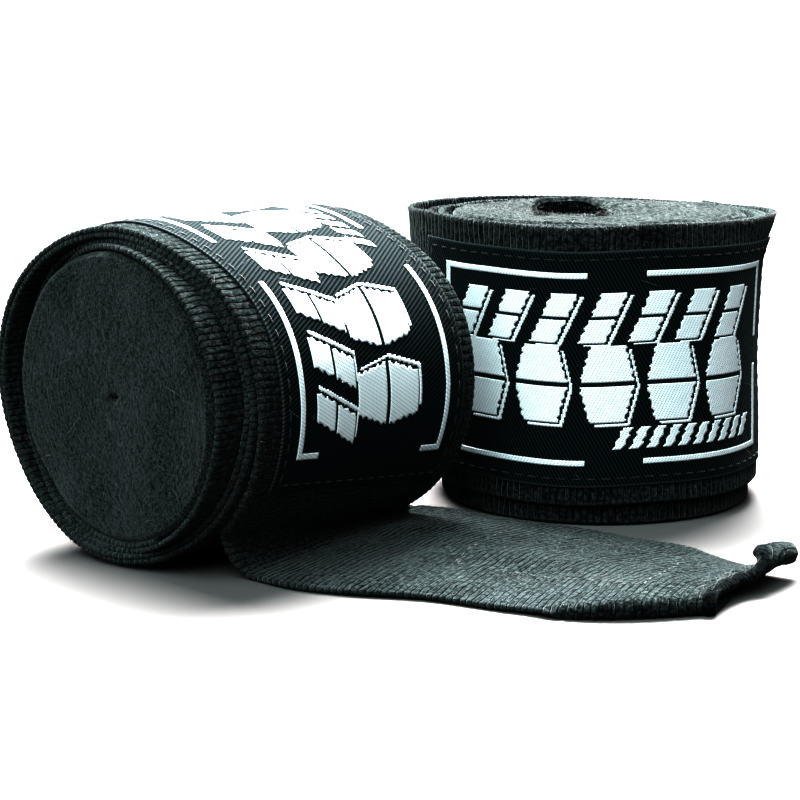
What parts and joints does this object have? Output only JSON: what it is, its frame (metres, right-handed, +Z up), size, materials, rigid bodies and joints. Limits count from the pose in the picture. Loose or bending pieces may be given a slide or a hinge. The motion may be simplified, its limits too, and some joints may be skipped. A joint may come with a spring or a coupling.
{
  "type": "hand wrap",
  "caption": "Pair of rolled elastic boxing hand wraps with woven labels and hook-and-loop ends: one lies on its side with a loose tail, the other stands on end.",
  "frame": {"origin": "centre of the bounding box's bottom face, on the floor that both wraps rest on", "axes": "+Y along the lying wrap's roll axis towards the standing wrap, +X towards the side where the loose tail runs out, +Z up"},
  "size_m": [0.1124, 0.1218, 0.0542],
  "materials": {
    "strip_cloth": "ribbed elastic cotton with a short nap",
    "hem_binding": "overlocked cut end",
    "label_weave": "satin twill weave",
    "label_motif": "satin brocade weft",
    "seam_thread": "spun sewing thread",
    "hook_tape": "moulded hooks",
    "loop_tape": "brushed loops"
  },
  "bodies": {
    "lying_wrap": {"lying_inner_turns": "strip_cloth", "lying_thumb_loop": "strip_cloth", "lying_thumb_loop_stitching": "seam_thread", "lying_outer_turn": "strip_cloth", "lying_label": "label_weave", "lying_label_stitching": "seam_thread", "lying_loop_patch": "loop_tape", "lying_loop_patch_stitching": "seam_thread"},
    "loose_tail": {"lying_tail": "strip_cloth", "lying_end_hem": "hem_binding", "lying_hook_patch": "hook_tape", "lying_hook_patch_stitching": "seam_thread"},
    "standing_wrap": {"standing_inner_turns": "strip_cloth", "standing_thumb_loop": "strip_cloth", "standing_thumb_loop_stitching": "seam_thread", "standing_outer_turn": "strip_cloth", "standing_label": "label_weave", "standing_label_stitching": "seam_thread", "standing_loop_patch": "loop_tape", "standing_loop_patch_stitching": "seam_thread"},
    "closure_tab": {"standing_closure_tab": "strip_cloth", "standing_end_hem": "hem_binding", "standing_hook_patch": "hook_tape", "standing_hook_patch_stitching": "seam_thread"}
  },
  "joints": [
    {"name": "tail_lift", "type": "hinge", "parent": "lying_wrap", "child": "loose_tail", "pos_m": [0.00661, -0.02056, 0.0008], "axis": [0.342, -0.9397, 0], "range_deg": [0, 70]},
    {"name": "standing_wrap_lift", "type": "slide", "parent": "lying_wrap", "child": "standing_wrap", "axis": [0, 0, 1], "range_m": [0, 0.12]},
    {"name": "closure_tab_peel", "type": "hinge", "parent": "standing_wrap", "child": "closure_tab", "pos_m": [-0.03643, 0.02097, 0.025], "axis": [0, 0, 1], "range_deg": [0, 60]}
  ]
}
